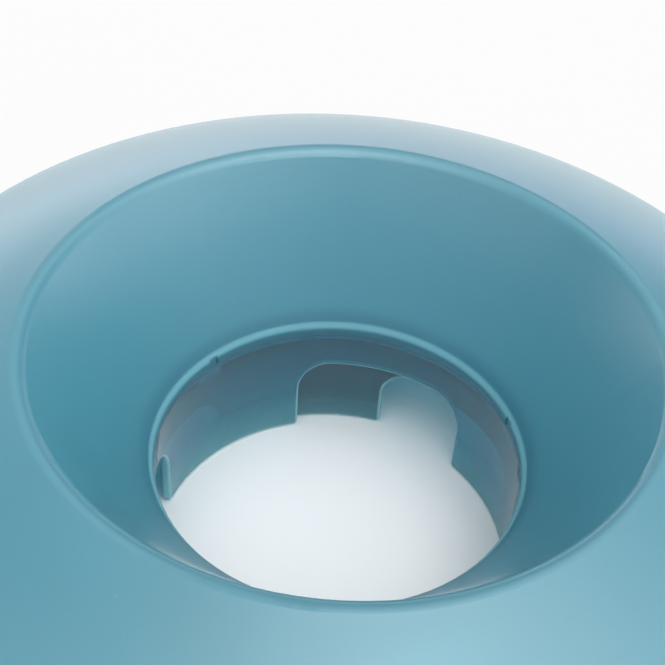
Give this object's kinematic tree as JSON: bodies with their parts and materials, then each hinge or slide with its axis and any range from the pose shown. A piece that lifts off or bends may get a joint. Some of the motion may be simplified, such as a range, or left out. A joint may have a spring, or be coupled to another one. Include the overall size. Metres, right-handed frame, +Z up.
{
  "type": "rocking slow feeder bowl",
  "caption": "Round-bottomed slow feeder bowl: frosted teal funnel lid with arched openings, turning portion ring, white weighted rocker base.",
  "frame": {"origin": "centre of the bowl on the surface that it stands on, under the anti-slip ring", "axes": "+Z up along the bowl's axis; +Y away from the viewer of the picture, at whose end the funnel's first arch is 15 degrees to the right"},
  "size_m": [0.23, 0.23, 0.0974],
  "materials": {
    "frosted_teal": "frosted translucent moulding",
    "white_shell": "satin moulded",
    "grey_soft": "matte soft moulded",
    "clear_soft": "matte soft moulded",
    "steel": "zinc plated",
    "foam": "closed-cell foam"
  },
  "bodies": {
    "base": {"base_bowl": "white_shell", "rocker_cap": "white_shell", "anti_slip_ring": "grey_soft", "rim_seal": "clear_soft", "ballast_plate_lower": "steel", "ballast_plate_upper": "steel", "ballast_pad_lower": "foam", "ballast_pad_upper": "foam", "cap_seal": "grey_soft", "cap_screws": "steel", "screw_plugs": "grey_soft"},
    "top": {"funnel_top": "frosted_teal"},
    "ring": {"portion_ring": "frosted_teal"}
  },
  "joints": [
    {"name": "top_lift", "type": "slide", "parent": "base", "child": "top", "axis": [0, 0, 1], "range_m": [0, 0.065]},
    {"name": "ring_turn", "type": "hinge", "parent": "top", "child": "ring", "pos_m": [0, 0, 0.0392], "axis": [0, 0, 1], "range_deg": [-31, 29]}
  ]
}
